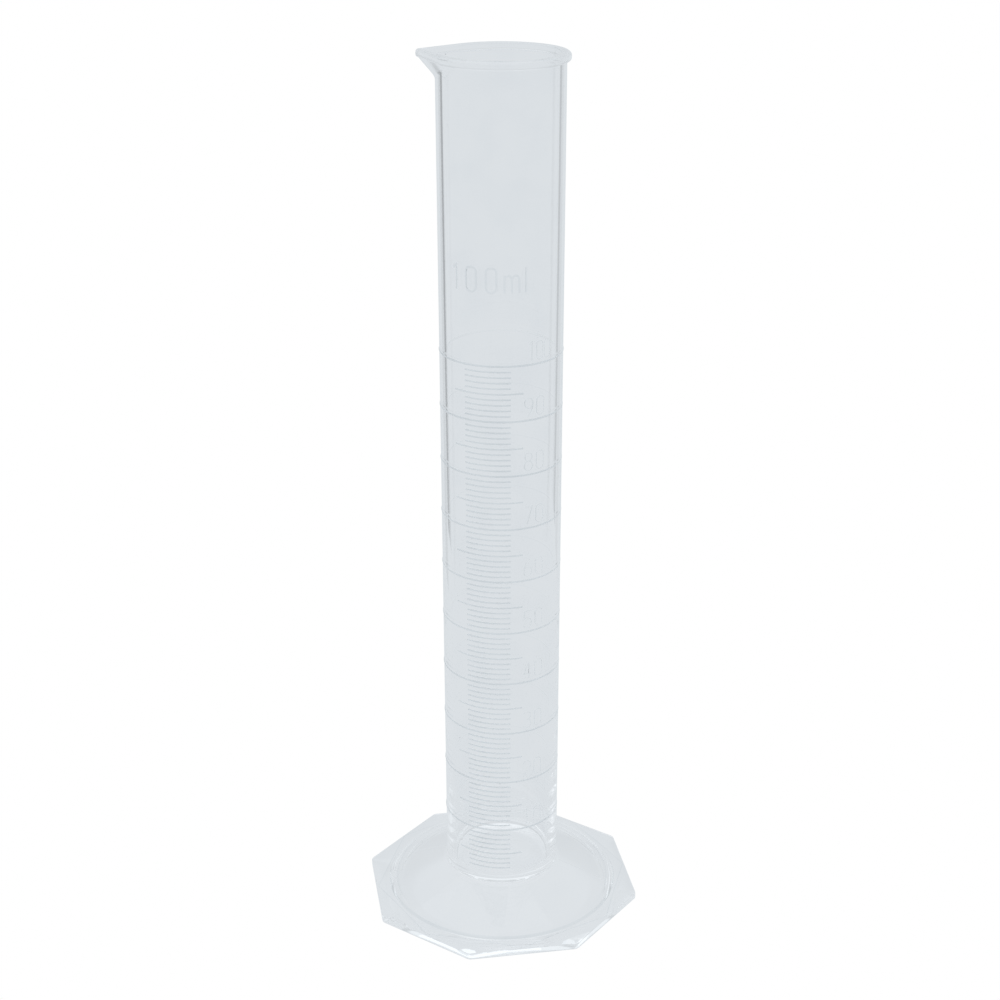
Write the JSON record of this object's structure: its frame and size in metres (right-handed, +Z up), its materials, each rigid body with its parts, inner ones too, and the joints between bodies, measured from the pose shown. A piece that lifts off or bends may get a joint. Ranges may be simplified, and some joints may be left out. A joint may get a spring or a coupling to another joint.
{
  "type": "graduated cylinder",
  "caption": "Tall clear plastic measuring cylinder with raised graduation rings, a rim bead drawn out into a pouring spout, and a hollow eight-sided foot.",
  "frame": {"origin": "centre of the foot's underside, on the axis of the tube, on the surface that the cylinder stands on", "axes": "+Z up the tube towards the mouth, -X towards the pouring spout, -Y towards the graduated scale"},
  "size_m": [0.0796, 0.0796, 0.2408],
  "materials": {
    "clear_plastic": "clear, polished moulding"
  },
  "bodies": {
    "root": {"graduated_tube": "clear_plastic", "octagonal_foot": "clear_plastic"}
  },
  "joints": []
}
